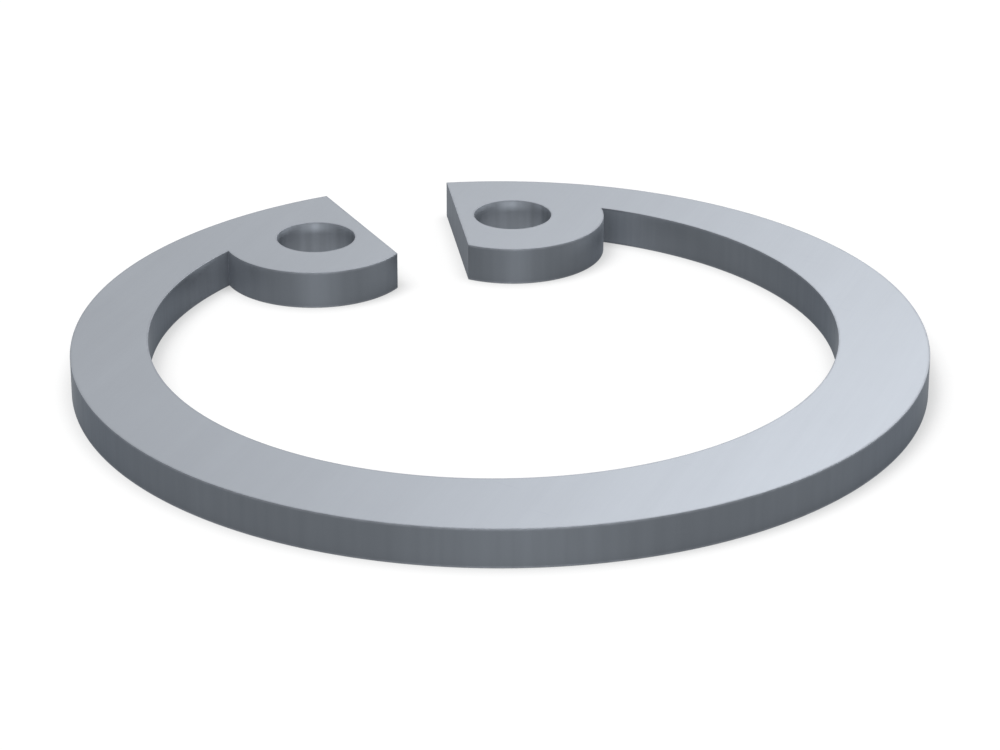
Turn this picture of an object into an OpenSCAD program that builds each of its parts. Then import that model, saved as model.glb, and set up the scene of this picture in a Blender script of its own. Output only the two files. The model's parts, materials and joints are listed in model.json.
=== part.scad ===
// Internal retaining ring: a flat spring ring, stamped in one piece from strip steel, that is
// squeezed with pliers and springs out into a groove in a bore.
// It lies on its lower face at z = 0. The rim is centred on the Z axis, and the gap is at +Y.

/* [Ring] */
// Diameter over the rim while the ring is free, out of its groove
free_d = 21.5; // [18:0.1:40]
// Thickness of the strip
thickness = 1.0; // [0.5:0.05:3]

/* [Beam] */
// Radial width of the spring beam opposite the gap, where it is widest
back_beam_w = 2.63; // [1.4:0.01:4]
// Radial width that the beam tapers to at the gap
gap_beam_w = 1.49; // [1:0.01:2.4]

/* [Gap] */
// Angle between the two end faces, which both point at the rim's centre
gap_angle = 18.4; // [8:0.1:40]

/* [Lugs] */
// Diameter of the round inner end of each lug
lug_d = 4.96; // [4.4:0.01:6]
// From the rim in to the centre of a lug and of its hole
lug_inset = 2.5; // [2.2:0.01:3]
// From the centre of a lug to its end face, square to that face
lug_to_end = 1.48; // [1.3:0.01:1.9]
// Diameter of the hole for the tip of the pliers
plier_hole_d = 2.09; // [1.2:0.01:2.4]

/* [Hidden] */
$fn = 180;

steel = [0.74, 0.77, 0.80];
rim_r = free_d / 2;
// The opening is a plain circle set off towards the gap, and that alone tapers the beam
opening_r = (free_d - back_beam_w - gap_beam_w) / 2;
opening_shift = (back_beam_w - gap_beam_w) / 2;
lug_centre_r = rim_r - lug_inset;
// From the middle of the gap round to the centre of either lug
lug_angle = gap_angle / 2 + asin(lug_to_end / lug_centre_r);
// The gap is cut well past the rim
gap_reach = 2 * rim_r;

// Places its children on the centre of each lug, one on either side of the gap
module at_each_lug() {
    for (side = [-1, 1])
        rotate(side * lug_angle)
            translate([0, lug_centre_r])
                children();
}

// The eccentric opening, stopped short by the round ends of the lugs
module opening_outline() {
    difference() {
        translate([0, opening_shift])
            circle(r = opening_r);
        at_each_lug()
            circle(d = lug_d);
    }
}

// A wedge from the rim's centre out past the rim, whose two sides are the end faces
module gap_outline() {
    polygon([
        [0, 0],
        [gap_reach * sin(gap_angle / 2), gap_reach * cos(gap_angle / 2)],
        [-gap_reach * sin(gap_angle / 2), gap_reach * cos(gap_angle / 2)]
    ]);
}

module ring_outline() {
    difference() {
        circle(r = rim_r);
        opening_outline();
        gap_outline();
        at_each_lug()
            circle(d = plier_hole_d);
    }
}

module retaining_ring() {
    color(steel)
        linear_extrude(thickness)
            ring_outline();
}

retaining_ring();
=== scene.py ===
"""An internal retaining ring of spring steel, lying in a small white studio."""

import json
import math
from typing import NamedTuple

import bpy
import numpy as np
from bpy.props import FloatProperty, FloatVectorProperty, PointerProperty
from bpy.types import Operator, Panel, PropertyGroup
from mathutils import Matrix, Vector


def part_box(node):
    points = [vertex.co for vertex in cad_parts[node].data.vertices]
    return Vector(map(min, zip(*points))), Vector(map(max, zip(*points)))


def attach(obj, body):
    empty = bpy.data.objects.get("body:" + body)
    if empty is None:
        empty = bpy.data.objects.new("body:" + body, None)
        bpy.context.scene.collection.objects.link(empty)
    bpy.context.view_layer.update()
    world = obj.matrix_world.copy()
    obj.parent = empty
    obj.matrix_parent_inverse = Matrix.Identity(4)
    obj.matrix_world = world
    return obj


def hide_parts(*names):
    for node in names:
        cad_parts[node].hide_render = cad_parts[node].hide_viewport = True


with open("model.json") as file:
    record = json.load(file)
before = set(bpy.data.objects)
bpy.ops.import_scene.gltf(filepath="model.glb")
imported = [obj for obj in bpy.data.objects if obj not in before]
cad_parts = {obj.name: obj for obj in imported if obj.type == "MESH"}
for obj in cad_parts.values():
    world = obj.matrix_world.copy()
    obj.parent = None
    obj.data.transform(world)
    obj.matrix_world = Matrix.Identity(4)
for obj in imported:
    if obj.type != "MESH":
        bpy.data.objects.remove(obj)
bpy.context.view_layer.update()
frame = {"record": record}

bl_info = {
    "name": "Internal Retaining Ring",
    "version": (1, 0, 0),
    "blender": (4, 5, 0),
    "location": "3D View > Sidebar > Ring",
    "description": "Builds a stamped internal retaining ring and a small white studio around it",
    "category": "Mesh",
}

MM = 0.001
MICRON = 0.000001
TOP, BOTTOM = 1.0, -1.0
ANTICLOCKWISE, CLOCKWISE = 1, -1

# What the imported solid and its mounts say
NODE = "retaining_ring"
NODE_LOW, NODE_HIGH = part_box(NODE)
MOUNTS = {mount["name"]: mount for mount in frame["record"]["mounts"]}
RIM_RADIUS = MOUNTS["groove_rim"]["dims"]["r_mm"] * MM
HOLE_RADIUS = MOUNTS["plier_hole_right"]["dims"]["r_mm"] * MM
HOLE_X, HOLE_Y = MOUNTS["plier_hole_right"]["pos_m"][:2]
LUG_CENTRE_RADIUS = math.hypot(HOLE_X, HOLE_Y)
HALF_GAP = math.acos(NODE_HIGH.y / RIM_RADIUS)
LUG_BEARING = math.atan2(HOLE_X, HOLE_Y)

# What only the solid's own curves say
BACK_BEAM_WIDTH = 2.63 * MM
GAP_BEAM_WIDTH = 1.49 * MM
LUG_DIAMETER = 4.96 * MM

# How far the wear round an edge reaches, in over the face and down the wall, and how far along
# that reach its middle station lies
WEAR_REACH = 0.05 * MM
WEAR_MIDDLE = 0.5
# How much rougher tumbling leaves an edge than the steel beside it
EDGE_MATTING = 0.25
# How far from a notch the walls still get the painted light that lifts the notch's shade
NOTCH_REACH = 1.4 * MM
# The radius that a corner keeps where its outline is drawn in by more than the corner's own
SHARP_CORNER = 0.002 * MM
# A face belongs to a wall where its normals lie lower than this
WALL_LEAN = math.radians(45)
# Points are one where they agree to this many decimals of a micron
MERGE_DECIMALS = 3

# How finely each stretch of the ring is divided
BEAM_STEPS = 200
LUG_RIM_STEPS = 48
CORNER_STEPS = 5
END_FACE_STEPS = 28
LUG_ROUND_STEPS = 84
NOTCH_STEPS = 6
EDGE_STEPS = 4
BEAM_ROWS = 8
LUG_ROWS = 8

# The middle of a noise's range
NOISE_MIDDLE = 0.5
# How strongly fine noise breaks up the worn edges, and how far they are held back everywhere
BREAK_CONTRAST = 1.6
BREAK_OFFSET = -0.1
# How much a hairline's noise is slowed along its length, and how steeply its crests rise
HAIRLINE_STRETCH = 0.05
HAIRLINE_STEEPNESS = 12.0
# How far the shear lines spread the shade of an outer wall, and of a hole's wall
WALL_STREAKS = 0.15
HOLE_STREAKS = 0.55
# Where a Mix node keeps its sockets for colours
MIX_FACTOR, MIX_FIRST, MIX_SECOND, MIX_RESULT = 0, 6, 7, 2

# What the floor comes to where nothing shades it, a little over white so that it stays even
FLOOR_WHITE = 1.04
# How far the floor lies under the ring's lower face
FLOOR_DROP = 0.005 * MM
# How far off the key is drawn, which doesn't change its light
KEY_DISTANCE = 0.3
# Width of the camera's sensor in millimetres
SENSOR_WIDTH = 36.0


class Softbox(NamedTuple):
    """A panel of light: degrees round from the camera and above the floor, metres, and watts"""

    name: str
    bearing: float
    elevation: float
    distance: float
    width: float
    height: float
    power: float


SOFTBOXES = (
    Softbox("rear_low", bearing=152, elevation=38, distance=0.09, width=0.06, height=0.06, power=0.0097),
    Softbox("rear_high", bearing=162, elevation=50, distance=0.09, width=0.06, height=0.06, power=0.0135),
    Softbox("front", bearing=4, elevation=7, distance=0.2, width=0.03, height=0.018, power=0.215),
    Softbox("right", bearing=92, elevation=5, distance=0.2, width=0.12, height=0.018, power=0.15),
    Softbox("left", bearing=-80, elevation=4, distance=0.2, width=0.05, height=0.018, power=0.04),
)

# What the mesh marks on its points: worn edges, punched hole walls, and how near a wall lies to a notch,
# which sets its painted light
WEAR, PUNCHED, NOTCH_NEARNESS = MARKS = ("edge_wear", "punched", "shelter")


class RingSizes(PropertyGroup):
    """Driving sizes of the ring, lying flat with its gap towards +Y"""

    free_diameter: FloatProperty(
        name="Free Diameter",
        description="Diameter over the rim while the ring is out of its groove",
        default=2 * RIM_RADIUS, min=5 * MM, unit="LENGTH", subtype="DISTANCE", precision=5)
    thickness: FloatProperty(
        name="Thickness",
        description="Thickness of the strip that the ring is stamped from",
        default=NODE_HIGH.z - NODE_LOW.z, min=0.2 * MM, unit="LENGTH", subtype="DISTANCE", precision=5)
    back_beam_width: FloatProperty(
        name="Beam Width at the Back",
        description="Radial width of the beam opposite the gap, where it is widest",
        default=BACK_BEAM_WIDTH, min=0.5 * MM, unit="LENGTH", subtype="DISTANCE", precision=5)
    gap_beam_width: FloatProperty(
        name="Beam Width at the Gap",
        description="Radial width that the beam tapers to at the gap",
        default=GAP_BEAM_WIDTH, min=0.3 * MM, unit="LENGTH", subtype="DISTANCE", precision=5)
    gap_angle: FloatProperty(
        name="Gap Angle",
        description="Angle between the two end faces, which both point at the rim's centre",
        default=2 * HALF_GAP, min=0.05, max=1.0, unit="ROTATION", subtype="ANGLE")
    lug_diameter: FloatProperty(
        name="Lug Diameter",
        description="Diameter of the round inner end of each lug",
        default=LUG_DIAMETER, min=1 * MM, unit="LENGTH", subtype="DISTANCE", precision=5)
    lug_inset: FloatProperty(
        name="Lug Inset",
        description="From the rim in to the centre of a lug and of its hole",
        default=RIM_RADIUS - LUG_CENTRE_RADIUS, min=0.5 * MM,
        unit="LENGTH", subtype="DISTANCE", precision=5)
    lug_to_end: FloatProperty(
        name="Lug to End Face",
        description="From the centre of a lug to its end face, square to that face",
        default=LUG_CENTRE_RADIUS * math.sin(LUG_BEARING - HALF_GAP), min=0.3 * MM,
        unit="LENGTH", subtype="DISTANCE", precision=5)
    plier_hole_diameter: FloatProperty(
        name="Plier Hole Diameter",
        description="Diameter of the hole for the tip of the pliers",
        default=2 * HOLE_RADIUS, min=0.3 * MM, unit="LENGTH", subtype="DISTANCE", precision=5)
    edge_radius: FloatProperty(
        name="Edge Radius",
        description="Radius that tumbling leaves along every edge",
        default=0.015 * MM, min=2 * MICRON, unit="LENGTH", subtype="DISTANCE", precision=6)
    corner_radius: FloatProperty(
        name="Corner Radius",
        description="Radius of the outline's corners, seen from above",
        default=0.01 * MM, min=5 * MICRON, unit="LENGTH", subtype="DISTANCE", precision=6)


class SteelFinish(PropertyGroup):
    """Colours and roughness of the spring steel"""

    face_color: FloatVectorProperty(
        name="Face Colour",
        description="Colour of the rolled faces",
        subtype="COLOR", size=3, min=0.0, max=1.0, default=(0.302, 0.325, 0.361))
    # Painted shade: the walls are darker than the faces partly because sheared steel is duller and mostly
    # to stand in for the light that falls less on them
    shaded_wall_color: FloatVectorProperty(
        name="Wall Colour",
        description="Colour of the sheared walls, which stay darker than the faces",
        subtype="COLOR", size=3, min=0.0, max=1.0, default=(0.113, 0.125, 0.141))
    # Painted light: the hole walls are paler than the outer walls to lift the shade that falls inside the
    # holes
    hole_painted_light_color: FloatVectorProperty(
        name="Hole Colour",
        description="Colour of the hole walls, which the punch rubs brighter",
        subtype="COLOR", size=3, min=0.0, max=1.0, default=(0.25, 0.272, 0.303))
    # Painted light: the walls beside the notches are paler than the other walls to lift the shade that
    # falls in the notches
    notch_painted_light_color: FloatVectorProperty(
        name="Notch Colour",
        description="Colour of the walls beside the notches, where tumbling doesn't reach",
        subtype="COLOR", size=3, min=0.0, max=1.0, default=(0.205, 0.226, 0.256))
    # Worn edges with painted shade: darker than the faces, so that the edge rounds show no highlight
    worn_edge_shade_color: FloatVectorProperty(
        name="Worn Edge Colour",
        description="Colour of the edges, which tumbling has rubbed to a matt satin",
        subtype="COLOR", size=3, min=0.0, max=1.0, default=(0.21, 0.225, 0.25))
    wall_tint: FloatVectorProperty(
        name="Wall Grazing Tint",
        description="Tint of what the sheared walls mirror at a grazing angle",
        subtype="COLOR", size=3, min=0.0, max=1.0, default=(0.575, 0.602, 0.64))
    face_roughness: FloatProperty(
        name="Face Roughness",
        description="Roughness of the rolled faces",
        default=0.38, min=0.0, max=1.0, subtype="FACTOR")
    wall_roughness: FloatProperty(
        name="Wall Roughness",
        description="Roughness of the sheared walls",
        default=0.4, min=0.0, max=1.0, subtype="FACTOR")
    hole_roughness: FloatProperty(
        name="Hole Roughness",
        description="Roughness of the hole walls",
        default=0.55, min=0.0, max=1.0, subtype="FACTOR")
    notch_roughness: FloatProperty(
        name="Notch Roughness",
        description="Roughness of the walls beside the notches",
        default=0.9, min=0.0, max=1.0, subtype="FACTOR")
    grain_angle: FloatProperty(
        name="Grain Angle",
        description="Direction of the rolling grain on the faces, turned from +X",
        default=math.radians(52), unit="ROTATION", subtype="ANGLE")


class Studio(PropertyGroup):
    """The white studio and the camera"""

    floor_color: FloatVectorProperty(
        name="Floor Colour",
        description="Colour of the floor",
        subtype="COLOR", size=3, min=0.0, max=1.0, default=(0.33, 0.33, 0.33))
    # The floor's painted contact shadow: how far it reaches from the ring and how deep it is
    contact_reach: FloatProperty(
        name="Contact Shadow Reach",
        description="How far from the ring the close dark fringe on the floor ends",
        default=0.45 * MM, min=0.1 * MM, unit="LENGTH", subtype="DISTANCE", precision=5)
    contact_depth: FloatProperty(
        name="Contact Shadow Depth",
        description="Share of the floor's white that the fringe takes away where all of the sky is hidden",
        default=0.44, min=0.0, max=1.0, subtype="FACTOR")
    floor_size: FloatProperty(
        name="Floor Size",
        description="Length of each side of the floor",
        default=3.0, min=0.1, unit="LENGTH", subtype="DISTANCE")
    ambient: FloatProperty(
        name="Ambient Light",
        description="Strength of the even light from all round",
        default=0.5, min=0.0, max=2.0)
    key_strength: FloatProperty(
        name="Key Strength",
        description="Strength of the soft key that hangs over the ring and gives it its shadow",
        default=1.7, min=0.0, max=10.0)
    key_bearing: FloatProperty(
        name="Key Bearing",
        description="How far round from the camera the key stands, negative towards the left",
        default=math.radians(-68), unit="ROTATION", subtype="ANGLE")
    key_elevation: FloatProperty(
        name="Key Elevation",
        description="How far above the floor the key stands",
        default=math.radians(65), unit="ROTATION", subtype="ANGLE")
    key_spread: FloatProperty(
        name="Key Spread",
        description="Angle that the key fills in the sky, which sets how soft the shadow is",
        default=math.radians(32), unit="ROTATION", subtype="ANGLE")
    lens: FloatProperty(
        name="Lens",
        description="Focal length, on a sensor 36 mm wide",
        default=131.1, min=20.0, max=300.0, unit="CAMERA", subtype="DISTANCE_CAMERA")
    azimuth: FloatProperty(
        name="Camera Azimuth",
        description="Where the camera stands, turned anticlockwise from -Y as seen from above",
        default=math.radians(-17.16), unit="ROTATION", subtype="ANGLE")
    elevation: FloatProperty(
        name="Camera Elevation",
        description="How far above the floor the camera looks from",
        default=math.radians(24.31), unit="ROTATION", subtype="ANGLE")
    distance: FloatProperty(
        name="Camera Distance",
        description="From the camera to the point that it looks at",
        default=91.8 * MM, min=0.02, unit="LENGTH", subtype="DISTANCE", precision=5)
    aim_forward: FloatProperty(
        name="Aim Forward",
        description="From the rim's centre to the point looked at, along the floor towards the camera",
        default=0.146 * MM, unit="LENGTH", subtype="DISTANCE", precision=6)


def direction(angle):
    """The unit vectors at an array of angles, each turned anticlockwise from +X."""
    return np.stack([np.cos(angle), np.sin(angle)], axis=-1)


def angle_of(vector):
    """The angle of each vector, turned anticlockwise from +X."""
    return np.arctan2(vector[..., 1], vector[..., 0])


def arc(centre, radius, start, end, steps, turn):
    """Points and outward normals along one arc per inset, without the arc's last point.

    A point is the centre plus the radius along a direction that turns evenly from start to end.
    Anticlockwise arcs bulge out of the steel, so their normals point away from the centre, and
    those of clockwise arcs point at it.
    """
    sweep = turn * np.mod(turn * (end - start), 2 * math.pi)
    pointing = direction(start + sweep * np.linspace(0, 1, steps, endpoint=False))
    points = centre + radius[..., None] * pointing
    return points, np.broadcast_to(turn * pointing, points.shape)


def joined(*stretches):
    """Stretches of an outline, each its points and its normals, set end to end."""
    return tuple(np.concatenate(parts, axis=1) for parts in zip(*stretches))


class RingPlan:
    """The ring's right half seen from above, shrunk inwards by any inset."""

    def __init__(self, sizes):
        self.rim_radius = sizes.free_diameter / 2
        self.opening_radius = (sizes.free_diameter - sizes.back_beam_width - sizes.gap_beam_width) / 2
        self.opening_centre = np.array([0, (sizes.back_beam_width - sizes.gap_beam_width) / 2])
        self.lug_radius = sizes.lug_diameter / 2
        self.hole_radius = sizes.plier_hole_diameter / 2
        self.lug_to_end = sizes.lug_to_end
        self.corner_radius = sizes.corner_radius
        self.face_inset = sizes.edge_radius + WEAR_REACH
        lug_centre_radius = self.rim_radius - sizes.lug_inset
        bearing = sizes.gap_angle / 2 + math.asin(sizes.lug_to_end / lug_centre_radius)
        self.lug_centre = lug_centre_radius * direction(math.pi / 2 - bearing)
        self.end_along = direction(math.pi / 2 - sizes.gap_angle / 2)
        self.end_out = direction(math.pi - sizes.gap_angle / 2)
        self.notch_centre = self.find_notch()
        self.notch_end = angle_of(self.notch_centre - self.opening_centre)
        self.notch_bottom = (angle_of(self.lug_centre - self.notch_centre) + self.notch_end) / 2
        self.check()
        self.seam_low, self.beam_angles = self.beam_bearings()

    def find_notch(self):
        """The centre of the small round at the bottom of the notch between lug and beam.

        It touches the lug's round end from outside and the opening's circle from inside, so it
        is where a circle a corner radius larger than the lug's end crosses one a corner radius
        smaller than the opening, on the side away from the gap.
        """
        across = self.lug_centre - self.opening_centre
        apart = np.linalg.norm(across)
        along = across / apart
        to_opening = self.opening_radius - self.corner_radius
        to_lug = self.lug_radius + self.corner_radius
        reach = (apart**2 + to_opening**2 - to_lug**2) / (2 * apart)
        aside = math.sqrt(to_opening**2 - reach**2)
        return self.opening_centre + reach * along + aside * np.array([along[1], -along[0]])

    def check(self):
        """Raises an error where the sizes can't make a ring."""
        if self.hole_radius >= min(self.lug_radius, self.lug_to_end) - 2 * self.face_inset:
            raise ValueError("The plier hole is too large for its lug")
        if self.opening_centre[1] + self.opening_radius >= self.rim_radius - 2 * self.face_inset:
            raise ValueError("The beam is too narrow at the gap")

    def beam_bearings(self):
        """The seam's inner end, and the bearing of every point along the beam's inner edge."""
        points, _ = self.inner_edge(np.array([[self.face_inset]]))
        return points[0, 0], angle_of(points[0])

    def inner_edge(self, inset):
        """From the bottom of the notch out along its second half, then round the opening to the back."""
        notch = arc(self.notch_centre, self.corner_radius + inset, self.notch_bottom, self.notch_end,
                    NOTCH_STEPS, CLOCKWISE)
        opening = arc(self.opening_centre, self.opening_radius + inset, self.notch_end, -math.pi / 2,
                      BEAM_STEPS, CLOCKWISE)
        back = self.opening_centre + (self.opening_radius + inset)[..., None] * np.array([0.0, -1.0])
        normals = np.broadcast_to([0.0, 1.0], back.shape)
        return joined(notch, opening, (back, normals))

    def lug_edge(self, inset):
        """From the seam's outer end round the rim, the end face and the lug to the notch's bottom.

        A corner is a small arc inside both of its neighbours: its centre is a corner radius in
        from each. Where the inset is more than that radius, the corner is all but sharp.
        """
        corner = np.maximum(self.corner_radius - inset, SHARP_CORNER)
        depth = inset + corner
        end_angle = angle_of(self.end_out)
        outer = (-depth[..., None] * self.end_out
                 + np.sqrt((self.rim_radius - depth)**2 - depth**2)[..., None] * self.end_along)
        across = self.lug_to_end - depth
        inner = (self.lug_centre + across[..., None] * self.end_out
                 - np.sqrt((self.lug_radius - depth)**2 - across**2)[..., None] * self.end_along)
        rim_end = angle_of(outer)
        lug_start = angle_of(inner - self.lug_centre)
        to_notch = angle_of(self.notch_centre - self.lug_centre)
        origin = np.zeros(2)
        rim = arc(origin, self.rim_radius - inset, self.beam_angles[0], rim_end,
                  LUG_RIM_STEPS, ANTICLOCKWISE)
        outer_corner = arc(outer, corner, rim_end, end_angle, CORNER_STEPS, ANTICLOCKWISE)
        share = np.linspace(0, 1, END_FACE_STEPS, endpoint=False)[:, None]
        end_face = (1 - share) * outer + share * inner + corner[..., None] * self.end_out
        end_normals = np.broadcast_to(self.end_out, end_face.shape)
        inner_corner = arc(inner, corner, end_angle, lug_start, CORNER_STEPS, ANTICLOCKWISE)
        lug = arc(self.lug_centre, self.lug_radius - inset, lug_start, to_notch,
                  LUG_ROUND_STEPS, ANTICLOCKWISE)
        notch = arc(self.notch_centre, self.corner_radius + inset, to_notch + math.pi, self.notch_bottom,
                    NOTCH_STEPS, CLOCKWISE)
        return joined(rim, outer_corner, (end_face, end_normals), inner_corner, lug, notch)

    def beam_rim(self, inset):
        """The rim from the back to the seam, at the bearings of the beam's inner edge."""
        pointing = direction(self.beam_angles[::-1])
        points = (self.rim_radius - inset)[..., None] * pointing
        return points, np.broadcast_to(pointing, points.shape)

    def outline(self, inset):
        """The whole outline of the right half, from the back of the rim to the back of the opening."""
        rim_without_seam = [part[:, :-1] for part in self.beam_rim(inset)]
        return joined(rim_without_seam, self.lug_edge(inset), self.inner_edge(inset))

    def seam(self):
        """Where the beam's sheet meets the lug's: straight out from the notch's bottom to the rim."""
        rim_end = (self.rim_radius - self.face_inset) * direction(self.beam_angles[0])
        share = np.linspace(0, 1, BEAM_ROWS + 1)[:, None]
        return (1 - share) * self.seam_low + share * rim_end

    def lug_border(self):
        """The closed border of the lug's sheet, anticlockwise from the notch's bottom."""
        points, _ = self.lug_edge(np.array([[self.face_inset]]))
        return np.concatenate([self.seam()[:-1], points[0], self.seam_low[None]])


def edge_profile(thickness, edge_radius):
    """The section that is carried round every outline, from the upper face down to the lower one.

    It comes in over the face, turns down through a quarter round, drops along the wall, and
    turns in again below. It gives each station's inset, height, lean and wear. The lean is the
    angle of its normal above the horizontal, and the wear is 1 on the rounds and fades to 0.
    """
    turning = np.linspace(math.pi / 2, 0, EDGE_STEPS + 1)
    fading = np.array([1.0, WEAR_MIDDLE])
    level = np.zeros(2)
    over_face = edge_radius + WEAR_REACH * fading
    inset = np.concatenate([over_face, edge_radius * (1 - np.cos(turning)), level])
    depth = np.concatenate([level, edge_radius * (1 - np.sin(turning)), over_face[::-1]])
    lean = np.concatenate([level + math.pi / 2, turning, level])
    wear = np.concatenate([1 - fading, np.ones(EDGE_STEPS + 1), 1 - fading[::-1]])
    return (np.concatenate([inset, inset[::-1]]),
            np.concatenate([thickness - depth, depth[::-1]]),
            np.concatenate([lean, -lean[::-1]]),
            np.concatenate([wear, wear[::-1]]))


def wall_patch(points, normals, profile, punched, near_notch):
    """A wall: every station of the profile carried along its own copy of an outline."""
    _, height, lean, wear = (np.broadcast_to(part[:, None], points.shape[:2]) for part in profile)
    corners = np.concatenate([points, height[..., None]], axis=-1)
    leaning = np.concatenate([np.cos(lean)[..., None] * normals, np.sin(lean)[..., None]], axis=-1)
    marks = [wear, np.full(wear.shape, punched), np.broadcast_to(near_notch, wear.shape)]
    return corners, leaning, np.stack(marks, axis=-1)


def face_patch(inner, outer, rows, height, side):
    """A flat sheet: straight lines from each point of an inner border to its partner outside."""
    share = np.linspace(0, 1, rows + 1)[:, None, None]
    flat = (1 - share) * inner + share * outer
    heights = np.full(flat.shape[:2] + (1,), height)
    normals = np.zeros(flat.shape[:2] + (3,))
    normals[..., 2] = side
    return np.concatenate([flat, heights], axis=-1), normals, np.zeros(flat.shape[:2] + (len(MARKS),))


def ring_patches(sizes):
    """Every patch of the ring's right half: outer wall, hole wall, and the sheets of both faces.

    How near the outer wall lies to the notch, which sets how much painted light it gets, follows a bell
    curve of its distance from the notch.
    """
    plan = RingPlan(sizes)
    profile = edge_profile(sizes.thickness, sizes.edge_radius)
    inset = profile[0][:, None]
    points, normals = plan.outline(inset)
    from_notch = np.linalg.norm(points - plan.notch_centre, axis=-1)
    patches = [wall_patch(points, normals, profile, 0.0, np.exp(-(from_notch / NOTCH_REACH)**2))]
    border = plan.lug_border()
    pointing = direction(angle_of(border - plan.lug_centre))
    hole = plan.lug_centre + (plan.hole_radius + inset)[..., None] * pointing
    patches.append(wall_patch(hole, np.broadcast_to(-pointing, hole.shape), profile, 1.0, 0.0))
    face_inset = np.array([[plan.face_inset]])
    inner, _ = plan.inner_edge(face_inset)
    rim, _ = plan.beam_rim(face_inset)
    for height, side in ((sizes.thickness, TOP), (0.0, BOTTOM)):
        patches.append(face_patch(inner[0], rim[0][::-1], BEAM_ROWS, height, side))
        patches.append(face_patch(hole[0], border, LUG_ROWS, height, side))
    return patches


def grid_faces(rows, columns, first):
    """The four corners of every cell of a grid of points, numbered from first."""
    corner = first + np.arange(rows * columns).reshape(rows, columns)
    cells = np.stack([corner[:-1, :-1], corner[1:, :-1], corner[1:, 1:], corner[:-1, 1:]], axis=-1)
    return cells.reshape(-1, cells.shape[-1])


def sew(patches):
    """Joins patches into one closed surface and turns every face to look the way its normals do."""
    faces = []
    first = 0
    for corners, _, _ in patches:
        faces.append(grid_faces(*corners.shape[:2], first))
        first += corners.shape[0] * corners.shape[1]
    faces = np.concatenate(faces)
    points = np.concatenate([corners.reshape(-1, 3) for corners, _, _ in patches])
    normals = np.concatenate([leaning.reshape(-1, 3) for _, leaning, _ in patches])
    marks = np.concatenate([values.reshape(-1, len(MARKS)) for _, _, values in patches])
    # Adding zero makes every -0.0 a plain 0.0
    rounded = np.round(points / MICRON, MERGE_DECIMALS) + 0.0
    _, kept, number = np.unique(rounded, axis=0, return_index=True, return_inverse=True)
    faces = number.reshape(-1)[faces]
    points, normals, marks = points[kept], normals[kept], marks[kept]
    looking = np.cross(points[faces[:, 2]] - points[faces[:, 0]], points[faces[:, 3]] - points[faces[:, 1]])
    away = np.einsum("ij,ij->i", looking, normals[faces].sum(axis=1)) < 0
    faces[away] = faces[away][:, ::-1]
    return points, normals, marks, faces


def mirrored(patches):
    """The same patches on the other side of the plane through the gap."""
    flip = np.array([-1.0, 1.0, 1.0])
    return [(corners * flip, leaning * flip, marks) for corners, leaning, marks in patches]


def make_mesh(name, points, normals, marks, faces):
    """Puts the surface into a mesh, with its true normals and its marks."""
    mesh = bpy.data.meshes.new(name)
    mesh.vertices.add(len(points))
    mesh.vertices.foreach_set("co", points.astype(np.float32).ravel())
    mesh.loops.add(faces.size)
    mesh.loops.foreach_set("vertex_index", faces.astype(np.int32).ravel())
    mesh.polygons.add(len(faces))
    mesh.polygons.foreach_set("loop_start", np.arange(0, faces.size, faces.shape[1], dtype=np.int32))
    steep = np.abs(normals[faces].mean(axis=1)[:, 2]) < math.sin(WALL_LEAN)
    mesh.polygons.foreach_set("material_index", steep.astype(np.int32))
    mesh.update(calc_edges=True)
    mesh.shade_smooth()
    mesh.normals_split_custom_set_from_vertices(normals.astype(np.float32))
    for label, values in zip(MARKS, marks.T):
        attribute = mesh.attributes.new(label, "FLOAT", "POINT")
        attribute.data.foreach_set("value", values.astype(np.float32))
    mesh.validate()
    return mesh


class Graph:
    """A node tree under construction, with its nodes set out in columns"""

    COLUMN = 220
    ROW = 180

    def __init__(self, tree):
        self.tree = tree
        self.filled = {}

    def add(self, kind, column, **settings):
        """A new node in that column, below the ones already there."""
        node = self.tree.nodes.new(kind)
        row = self.filled.get(column, 0)
        self.filled[column] = row + 1
        node.location = (column * self.COLUMN, -row * self.ROW)
        for name, value in settings.items():
            setattr(node, name, value)
        return node

    def feed(self, source, target):
        """Links two sockets, or sets the target to a plain value."""
        if isinstance(source, bpy.types.NodeSocket):
            self.tree.links.new(source, target)
        else:
            target.default_value = source

    def math(self, column, operation, first, second=0.0, third=0.0, clamp=False):
        """A Math node fed with up to three sockets or numbers; gives its output."""
        node = self.add("ShaderNodeMath", column, operation=operation, use_clamp=clamp)
        for source, target in zip((first, second, third), node.inputs):
            self.feed(source, target)
        return node.outputs[0]

    def around(self, column, source, spread, middle):
        """A value that wanders round its middle: a source from 0 to 1, drawn out over the spread."""
        return self.math(column, "MULTIPLY_ADD", source, spread, middle - spread * NOISE_MIDDLE)

    def noise(self, column, place, scale, detail, roughness=0.5):
        """A Noise texture; gives its value."""
        node = self.add("ShaderNodeTexNoise", column)
        settings = {"Vector": place, "Scale": scale, "Detail": detail, "Roughness": roughness}
        for name, value in settings.items():
            self.feed(value, node.inputs[name])
        return node.outputs["Fac"]

    def group(self, column, tree, **inputs):
        """A node group placed with its own values, named with underscores for spaces."""
        node = self.add("ShaderNodeGroup", column, node_tree=tree, label=tree.name)
        for name, value in inputs.items():
            self.feed(value, node.inputs[name.replace("_", " ")])
        return node

    def tint(self, column, kind, factor, first, second):
        """A Mix node for colours; gives its output."""
        node = self.add("ShaderNodeMix", column, data_type="RGBA", blend_type=kind)
        for source, socket in ((factor, MIX_FACTOR), (first, MIX_FIRST), (second, MIX_SECOND)):
            self.feed(source, node.inputs[socket])
        return node.outputs[MIX_RESULT]


def empty_graph(block):
    """The graph of a material or a world, with nothing in it."""
    block.use_nodes = True
    block.node_tree.nodes.clear()
    return Graph(block.node_tree)


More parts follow.
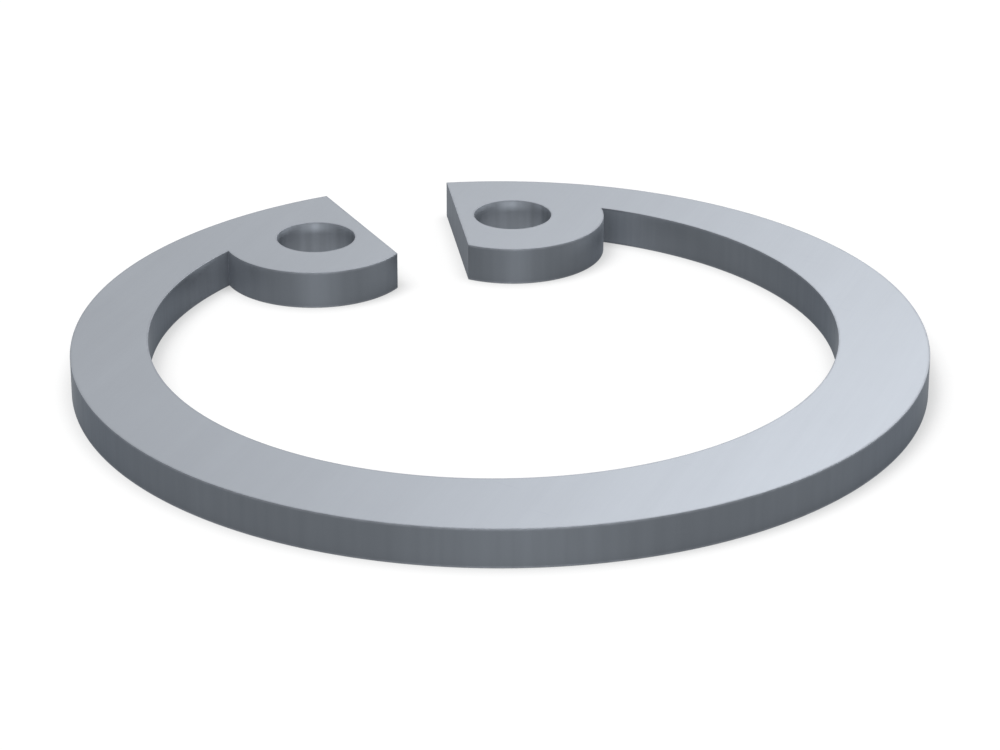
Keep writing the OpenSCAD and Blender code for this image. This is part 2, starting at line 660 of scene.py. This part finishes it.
def new_group(name, inputs, outputs):
    """An empty shader node group with named sockets, and its graph, inputs and outputs."""
    tree = bpy.data.node_groups.new(name, "ShaderNodeTree")
    for label, kind, default in inputs:
        socket = tree.interface.new_socket(label, in_out="INPUT", socket_type=kind)
        if default is not None:
            socket.default_value = default
    for label in outputs:
        tree.interface.new_socket(label, in_out="OUTPUT", socket_type="NodeSocketFloat")
    graph = Graph(tree)
    return tree, graph, graph.add("NodeGroupInput", 0).outputs, graph.add("NodeGroupOutput", 8).inputs


def grain_group():
    """Drawn-out grain: noise squeezed across the lines and stretched along them, in two widths."""
    name = "Steel Grain"
    if name in bpy.data.node_groups:
        return bpy.data.node_groups[name]
    tree, graph, given, wanted = new_group(
        name,
        [("Coordinates", "NodeSocketVector", None),
         ("Lines per Metre", "NodeSocketVector", (1000.0, 1000.0, 1000.0)),
         ("Banding", "NodeSocketFloat", 0.2)],
        ["Height", "Bands"])
    squeezed = graph.add("ShaderNodeVectorMath", 1, operation="MULTIPLY")
    graph.feed(given["Coordinates"], squeezed.inputs[0])
    graph.feed(given["Lines per Metre"], squeezed.inputs[1])
    widened = graph.add("ShaderNodeVectorMath", 2, operation="SCALE")
    graph.feed(squeezed.outputs[0], widened.inputs[0])
    graph.feed(given["Banding"], widened.inputs["Scale"])
    fine = graph.noise(3, squeezed.outputs[0], scale=1.0, detail=3.0, roughness=0.55)
    broad = graph.noise(3, widened.outputs[0], scale=1.0, detail=1.5)
    graph.feed(fine, wanted["Height"])
    graph.feed(broad, wanted["Bands"])
    return tree


def mottle_group():
    """Soft cloudy patches: a multiplier that wanders from the contrast below 1 to as much above."""
    name = "Steel Mottle"
    if name in bpy.data.node_groups:
        return bpy.data.node_groups[name]
    tree, graph, given, wanted = new_group(
        name,
        [("Coordinates", "NodeSocketVector", None),
         ("Patches per Metre", "NodeSocketFloat", 400.0),
         ("Contrast", "NodeSocketFloat", 0.05)],
        ["Shade"])
    cloud = graph.noise(2, given["Coordinates"], given["Patches per Metre"], detail=4.0, roughness=0.6)
    centred = graph.math(3, "SUBTRACT", cloud, NOISE_MIDDLE)
    spread = graph.math(4, "MULTIPLY", centred, given["Contrast"])
    graph.feed(graph.math(5, "MULTIPLY_ADD", spread, 1 / NOISE_MIDDLE, 1.0), wanted["Shade"])
    return tree


def wear_group():
    """Worn edges: the mesh's own wear, broken up by fine noise so that it isn't an even line."""
    name = "Steel Edge Wear"
    if name in bpy.data.node_groups:
        return bpy.data.node_groups[name]
    tree, graph, given, wanted = new_group(
        name,
        [("Coordinates", "NodeSocketVector", None),
         ("Breaks per Metre", "NodeSocketFloat", 4000.0),
         ("Amount", "NodeSocketFloat", 1.0)],
        ["Mask"])
    nearness = graph.add("ShaderNodeAttribute", 1, attribute_name=WEAR)
    breaks = graph.noise(2, given["Coordinates"], given["Breaks per Metre"], detail=3.0)
    kept = graph.math(3, "MULTIPLY_ADD", breaks, BREAK_CONTRAST, BREAK_OFFSET, clamp=True)
    worn = graph.math(4, "MULTIPLY", nearness.outputs["Fac"], kept)
    graph.feed(graph.math(5, "MULTIPLY", worn, given["Amount"], clamp=True), wanted["Mask"])
    return tree


def scratch_group():
    """Hairline marks: the crests of noise drawn out along one direction, so they stay sparse and thin."""
    name = "Steel Hairlines"
    if name in bpy.data.node_groups:
        return bpy.data.node_groups[name]
    tree, graph, given, wanted = new_group(
        name,
        [("Coordinates", "NodeSocketVector", None),
         ("Angle", "NodeSocketFloat", 0.5),
         ("Lines per Metre", "NodeSocketFloat", 5000.0),
         ("Crest", "NodeSocketFloat", 0.68)],
        ["Mask"])
    turned = graph.add("ShaderNodeVectorRotate", 1, rotation_type="Z_AXIS")
    graph.feed(given["Coordinates"], turned.inputs["Vector"])
    graph.feed(given["Angle"], turned.inputs["Angle"])
    drawn = graph.add("ShaderNodeVectorMath", 2, operation="MULTIPLY")
    drawn.inputs[1].default_value = (HAIRLINE_STRETCH, 1.0, 1.0)
    graph.feed(turned.outputs[0], drawn.inputs[0])
    crests = graph.noise(3, drawn.outputs[0], given["Lines per Metre"], detail=2.0)
    above = graph.math(4, "SUBTRACT", crests, given["Crest"])
    graph.feed(graph.math(5, "MULTIPLY", above, HAIRLINE_STEEPNESS, clamp=True), wanted["Mask"])
    return tree


def opaque(color):
    """A colour with its alpha."""
    return (*color, 1.0)


def new_metal(name):
    """A bare metal with its graph, its Principled shader and its object coordinates."""
    material = bpy.data.materials.new(name)
    graph = empty_graph(material)
    coordinates = graph.add("ShaderNodeTexCoord", 0).outputs["Object"]
    shader = graph.add("ShaderNodeBsdfPrincipled", 8)
    shader.inputs["Metallic"].default_value = 1.0
    output = graph.add("ShaderNodeOutputMaterial", 9)
    graph.feed(shader.outputs["BSDF"], output.inputs["Surface"])
    return material, graph, shader, coordinates


def grained_roughness(graph, grain, marks, middle, spread, hairline):
    """Roughness that wanders round its middle with the grain and is more along the hairlines."""
    rough = graph.around(3, grain.outputs["Height"], spread, middle)
    return graph.math(4, "MULTIPLY_ADD", marks.outputs["Mask"], hairline, rough)


def wear_and_shade_edges(graph, shader, wear, tone, worn_edge_shade_color, roughness):
    """Gives worn edges their own colour, darker than the faces as painted shade that damps the highlight of
    the edge rounds, and more roughness than the steel beside them.
    """
    color = graph.tint(6, "MIX", wear.outputs["Mask"], tone, opaque(worn_edge_shade_color))
    graph.feed(color, shader.inputs["Base Color"])
    matt = graph.math(7, "MULTIPLY_ADD", wear.outputs["Mask"], EDGE_MATTING, roughness)
    graph.feed(matt, shader.inputs["Roughness"])


def add_relief(graph, shader, grain, marks, hairline_depth, strength, rise):
    """Bumps as high as the rise: the grain's height, with the hairlines sunk into it."""
    relief = graph.math(3, "MULTIPLY_ADD", marks.outputs["Mask"], -hairline_depth, grain.outputs["Height"])
    bump = graph.add("ShaderNodeBump", 7)
    bump.inputs["Strength"].default_value = strength
    bump.inputs["Distance"].default_value = rise
    graph.feed(relief, bump.inputs["Height"])
    graph.feed(bump.outputs["Normal"], shader.inputs["Normal"])


def rolled_face_material(finish):
    """Cold-rolled strip: even and pale, with faint straight grain, cloudy tint and a few hairlines."""
    material, graph, shader, place = new_metal("rolled_steel_face")
    lie = graph.add("ShaderNodeMapping", 1)
    lie.inputs["Rotation"].default_value = (0.0, 0.0, -finish.grain_angle)
    graph.feed(place, lie.inputs["Vector"])
    grain = graph.group(2, grain_group(), Coordinates=lie.outputs["Vector"],
                        Lines_per_Metre=(500.0, 16000.0, 500.0), Banding=0.12)
    mottle = graph.group(2, mottle_group(), Coordinates=place, Patches_per_Metre=260.0, Contrast=0.035)
    wear = graph.group(2, wear_group(), Coordinates=place, Breaks_per_Metre=3500.0, Amount=0.6)
    marks = graph.group(2, scratch_group(), Coordinates=place, Angle=0.9, Lines_per_Metre=7000.0, Crest=0.7)
    streak = graph.around(3, grain.outputs["Bands"], spread=0.06, middle=1.0)
    shade = graph.math(4, "MULTIPLY", mottle.outputs["Shade"], streak)
    tone = graph.tint(5, "MULTIPLY", 1.0, opaque(finish.face_color), shade)
    rough = grained_roughness(graph, grain, marks, middle=finish.face_roughness, spread=0.06, hairline=0.05)
    wear_and_shade_edges(graph, shader, wear, tone, finish.worn_edge_shade_color, rough)
    add_relief(graph, shader, grain, marks, hairline_depth=0.8, strength=0.5, rise=0.5 * MICRON)
    return material


def sheared_wall_material(finish):
    """Sheared steel, its colour darker partly for the duller shear and mostly as painted shade, paler in
    the holes and beside the notches as painted light: matt, with upright shear lines that run the height of
    the wall.
    """
    material, graph, shader, place = new_metal("sheared_steel_wall")
    grain = graph.group(2, grain_group(), Coordinates=place,
                        Lines_per_Metre=(9000.0, 9000.0, 350.0), Banding=0.4)
    punched = graph.add("ShaderNodeAttribute", 1, attribute_name=PUNCHED).outputs["Fac"]
    near_notch = graph.add("ShaderNodeAttribute", 1, attribute_name=NOTCH_NEARNESS).outputs["Fac"]
    mottle = graph.group(2, mottle_group(), Coordinates=place, Patches_per_Metre=500.0, Contrast=0.05)
    wear = graph.group(2, wear_group(), Coordinates=place, Breaks_per_Metre=5000.0, Amount=0.7)
    marks = graph.group(2, scratch_group(), Coordinates=place, Angle=0.0, Lines_per_Metre=9000.0, Crest=0.7)
    spread = graph.math(2, "MULTIPLY_ADD", punched, HOLE_STREAKS - WALL_STREAKS, WALL_STREAKS)
    streak = graph.math(3, "SUBTRACT", grain.outputs["Bands"], NOISE_MIDDLE)
    banded = graph.math(4, "MULTIPLY_ADD", streak, spread, 1.0)
    shade = graph.math(4, "MULTIPLY", mottle.outputs["Shade"], banded)
    # The walls' colour is painted shade on the outer walls, and painted light in the holes and beside the
    # notches
    painted_wall_tone = graph.tint(3, "MIX", punched, opaque(finish.shaded_wall_color), opaque(finish.hole_painted_light_color))
    steel = graph.tint(4, "MIX", near_notch, painted_wall_tone, opaque(finish.notch_painted_light_color))
    tone = graph.tint(5, "MULTIPLY", 1.0, steel, shade)
    rough = grained_roughness(graph, grain, marks, middle=finish.wall_roughness, spread=0.12, hairline=0.06)
    bored = graph.math(5, "MULTIPLY_ADD", punched, finish.hole_roughness - finish.wall_roughness, rough)
    matt = graph.math(6, "MULTIPLY_ADD", near_notch, finish.notch_roughness - finish.wall_roughness, bored)
    wear_and_shade_edges(graph, shader, wear, tone, finish.worn_edge_shade_color, matt)
    add_relief(graph, shader, grain, marks, hairline_depth=0.5, strength=0.6, rise=1.2 * MICRON)
    shader.inputs["Specular Tint"].default_value = opaque(finish.wall_tint)
    return material


def seen_directly(graph):
    """1 for rays that look or mirror or pass straight through, and 0 for the ones that gather light."""
    path = graph.add("ShaderNodeLightPath", 0)
    looks = graph.math(1, "MAXIMUM", path.outputs["Is Camera Ray"], path.outputs["Is Glossy Ray"])
    return graph.math(2, "MAXIMUM", looks, path.outputs["Is Transmission Ray"])


def floor_material(studio):
    """A white floor that still shows shadows: its own colour as lit, topped up to white where seen.

    The share that is topped up falls by the contact depth where the ring hides the sky close by: a painted
    contact shadow beside the shadow that the key casts.
    """
    material = bpy.data.materials.new("white_floor")
    graph = empty_graph(material)
    paint = graph.add("ShaderNodeBsdfDiffuse", 3)
    paint.inputs["Color"].default_value = opaque(studio.floor_color)
    level = studio.ambient + studio.key_strength * math.sin(studio.key_elevation) / math.pi
    glow = graph.add("ShaderNodeEmission", 4)
    glow.inputs["Color"].default_value = opaque([FLOOR_WHITE - level * part for part in studio.floor_color])
    # Painted contact shadow: the floor's glow dims where the ring hides the sky close by
    fringe = graph.add("ShaderNodeAmbientOcclusion", 2, samples=4)
    fringe.inputs["Distance"].default_value = studio.contact_reach
    open_sky = graph.math(3, "MULTIPLY_ADD", fringe.outputs["AO"], studio.contact_depth,
                          1 - studio.contact_depth)
    graph.feed(graph.math(3, "MULTIPLY", seen_directly(graph), open_sky), glow.inputs["Strength"])
    both = graph.add("ShaderNodeAddShader", 5)
    graph.feed(paint.outputs["BSDF"], both.inputs[0])
    graph.feed(glow.outputs["Emission"], both.inputs[1])
    graph.feed(both.outputs["Shader"], graph.add("ShaderNodeOutputMaterial", 6).inputs["Surface"])
    return material


def make_floor(studio):
    """A flat square just under the ring's lower face."""
    half = studio.floor_size / 2
    corners = [(x * half, y * half, -FLOOR_DROP) for x, y in ((-1, -1), (1, -1), (1, 1), (-1, 1))]
    mesh = bpy.data.meshes.new("floor")
    mesh.from_pydata(corners, [], [(0, 1, 2, 3)])
    mesh.materials.append(floor_material(studio))
    floor = bpy.data.objects.new("floor", mesh)
    bpy.context.scene.collection.objects.link(floor)


def make_world(ambient):
    """White wherever it is seen or mirrored, and a softer even light elsewhere."""
    world = bpy.data.worlds.new("white_room")
    graph = empty_graph(world)
    strength = graph.math(3, "MULTIPLY_ADD", seen_directly(graph), 1.0 - ambient, ambient)
    sky = graph.add("ShaderNodeBackground", 4)
    graph.feed(strength, sky.inputs["Strength"])
    sky.inputs["Color"].default_value = (1.0, 1.0, 1.0, 1.0)
    graph.feed(sky.outputs["Background"], graph.add("ShaderNodeOutputWorld", 5).inputs["Surface"])
    bpy.context.scene.world = world


def outward(azimuth, elevation):
    """The direction out to an azimuth, anticlockwise from -Y seen from above, and an elevation."""
    return Vector((math.sin(azimuth) * math.cos(elevation),
                   -math.cos(azimuth) * math.cos(elevation),
                   math.sin(elevation)))


def hang(name, data, heading, distance, aim=(0.0, 0.0, 0.0)):
    """Puts a lamp or camera out from the aim along its heading, looking back at the aim."""
    item = bpy.data.objects.new(name, data)
    item.location = Vector(aim) + heading * distance
    item.rotation_mode = "QUATERNION"
    item.rotation_quaternion = (-heading).to_track_quat("-Z", "Y")
    bpy.context.scene.collection.objects.link(item)
    return item


def add_key(studio):
    """A far soft lamp that gives the floor its shadow and doesn't show in what mirrors it."""
    lamp = bpy.data.lights.new("key", "SUN")
    lamp.energy = studio.key_strength
    lamp.angle = studio.key_spread
    heading = outward(studio.azimuth + studio.key_bearing, studio.key_elevation)
    hang("key", lamp, heading, KEY_DISTANCE).visible_glossy = False


def add_softbox(softbox, camera_azimuth):
    """A panel that faces the ring and lights only what mirrors it."""
    lamp = bpy.data.lights.new(softbox.name, "AREA")
    lamp.shape = "RECTANGLE"
    lamp.size = softbox.width
    lamp.size_y = softbox.height
    lamp.energy = softbox.power
    heading = outward(camera_azimuth + math.radians(softbox.bearing), math.radians(softbox.elevation))
    hang(softbox.name, lamp, heading, softbox.distance).visible_diffuse = False


def make_lamps(studio):
    """A soft key from the left for the floor, and softboxes for the steel."""
    add_key(studio)
    for softbox in SOFTBOXES:
        add_softbox(softbox, studio.azimuth)


def make_camera(studio):
    """The camera, aimed at a point on the floor near the rim's centre."""
    data = bpy.data.cameras.new("camera")
    data.sensor_width = SENSOR_WIDTH
    data.lens = studio.lens
    data.clip_start = 1 * MM
    data.clip_end = 10.0
    aim = outward(studio.azimuth, 0.0) * studio.aim_forward
    heading = outward(studio.azimuth, studio.elevation)
    bpy.context.scene.camera = hang("camera", data, heading, studio.distance, aim)


class RING_OT_spring_ring(Operator):
    """Build the stamped spring ring in place of its plain solid"""

    bl_idname = "retaining_ring.spring_ring"
    bl_label = "Spring Ring"
    bl_options = {"REGISTER", "UNDO"}

    def execute(self, context):
        half = ring_patches(context.scene.ring_sizes)
        mesh = make_mesh("spring_ring", *sew(half + mirrored(half)))
        mesh.materials.append(rolled_face_material(context.scene.steel_finish))
        mesh.materials.append(sheared_wall_material(context.scene.steel_finish))
        ring = bpy.data.objects.new("spring_ring", mesh)
        context.scene.collection.objects.link(ring)
        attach(ring, "root")
        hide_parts(NODE)
        return {"FINISHED"}


class RING_OT_studio(Operator):
    """Set up the white floor, the even light, the lamps and the camera"""

    bl_idname = "retaining_ring.studio"
    bl_label = "White Studio"
    bl_options = {"REGISTER", "UNDO"}

    def execute(self, context):
        studio = context.scene.ring_studio
        make_floor(studio)
        make_world(studio.ambient)
        make_lamps(studio)
        make_camera(studio)
        context.scene.view_settings.view_transform = "Standard"
        return {"FINISHED"}


class VIEW3D_PT_retaining_ring(Panel):
    """Sizes, finish and studio of the retaining ring"""

    bl_idname = "VIEW3D_PT_retaining_ring"
    bl_label = "Retaining Ring"
    bl_space_type = "VIEW_3D"
    bl_region_type = "UI"
    bl_category = "Ring"

    def draw(self, context):
        for settings, operator in (
                (context.scene.ring_sizes, None),
                (context.scene.steel_finish, RING_OT_spring_ring.bl_idname),
                (context.scene.ring_studio, RING_OT_studio.bl_idname)):
            column = self.layout.column(align=True)
            for name in settings.bl_rna.properties.keys():
                if name not in ("name", "rna_type"):
                    column.prop(settings, name)
            if operator:
                column.operator(operator)


CLASSES = (RingSizes, SteelFinish, Studio, RING_OT_spring_ring, RING_OT_studio, VIEW3D_PT_retaining_ring)


def register():
    for cls in CLASSES:
        bpy.utils.register_class(cls)
    bpy.types.Scene.ring_sizes = PointerProperty(type=RingSizes)
    bpy.types.Scene.steel_finish = PointerProperty(type=SteelFinish)
    bpy.types.Scene.ring_studio = PointerProperty(type=Studio)


def unregister():
    del bpy.types.Scene.ring_studio
    del bpy.types.Scene.steel_finish
    del bpy.types.Scene.ring_sizes
    for cls in reversed(CLASSES):
        bpy.utils.unregister_class(cls)


def main():
    """Registers the add-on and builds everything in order."""
    register()
    bpy.ops.retaining_ring.spring_ring()
    bpy.ops.retaining_ring.studio()


if __name__ == "__main__":
    main()
